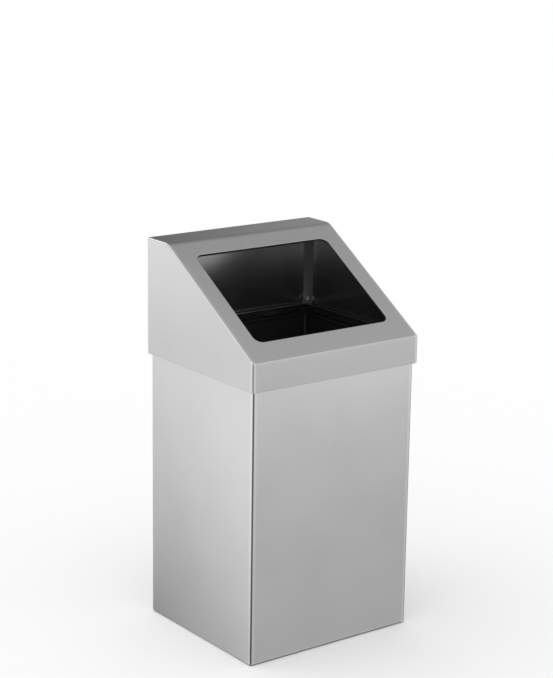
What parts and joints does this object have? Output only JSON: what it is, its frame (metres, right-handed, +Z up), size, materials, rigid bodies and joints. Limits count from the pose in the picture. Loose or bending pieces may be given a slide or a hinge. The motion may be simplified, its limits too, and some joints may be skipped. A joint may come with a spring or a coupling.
{
  "type": "waste bin",
  "caption": "Tall rectangular stainless waste bin with a lift-off hood, a rounded opening in its sloping top, and a lift-out black liner with wire handles.",
  "frame": {"origin": "on the floor under the middle of the bin", "axes": "+Z up, the front lip and the low end of the sloping top towards -Y, +X to the right seen from the front"},
  "size_m": [0.357, 0.32, 0.7],
  "materials": {
    "stainless": "satin brushed",
    "black_coat": "black powder coat",
    "zinc_steel": "zinc plated",
    "rivet_steel": "plain",
    "rubber": "matt black"
  },
  "bodies": {
    "bin": {"body_wrap": "stainless", "back_panel": "stainless", "base_pan": "stainless", "rim_frame": "stainless", "foot_front_left": "rubber", "foot_front_right": "rubber", "foot_rear_left": "rubber", "foot_rear_right": "rubber", "foot_screws": "zinc_steel", "foot_washers": "zinc_steel", "foot_nuts": "zinc_steel", "seam_rivets": "rivet_steel"},
    "hood": {"hood_wrap": "stainless", "hood_left_side": "stainless", "hood_right_side": "stainless", "hood_corner_left": "stainless", "hood_corner_right": "stainless", "hood_front_rest": "stainless"},
    "liner": {"liner_walls": "black_coat", "liner_base": "black_coat", "liner_rim": "black_coat", "ear_left_front": "zinc_steel", "ear_left_rear": "zinc_steel", "ear_right_front": "zinc_steel", "ear_right_rear": "zinc_steel", "ear_rivets": "rivet_steel"},
    "left_handle": {"handle_left": "zinc_steel"},
    "right_handle": {"handle_right": "zinc_steel"}
  },
  "joints": [
    {"name": "hood_lift", "type": "slide", "parent": "bin", "child": "hood", "axis": [0, 0, 1], "range_m": [0, 1.1]},
    {"name": "liner_lift", "type": "slide", "parent": "bin", "child": "liner", "axis": [0, 0, 1], "range_m": [0, 0.55]},
    {"name": "left_handle_swing", "type": "hinge", "parent": "liner", "child": "left_handle", "pos_m": [-0.151, -0.0006, 0.49], "axis": [0, -1, 0], "range_deg": [-5, 188]},
    {"name": "right_handle_swing", "type": "hinge", "parent": "liner", "child": "right_handle", "pos_m": [0.151, -0.0006, 0.49], "axis": [0, 1, 0], "range_deg": [-5, 188]}
  ],
  "couplings": [
    {"joint": "liner_lift", "follows": "hood_lift", "ratio": 0.5}
  ]
}
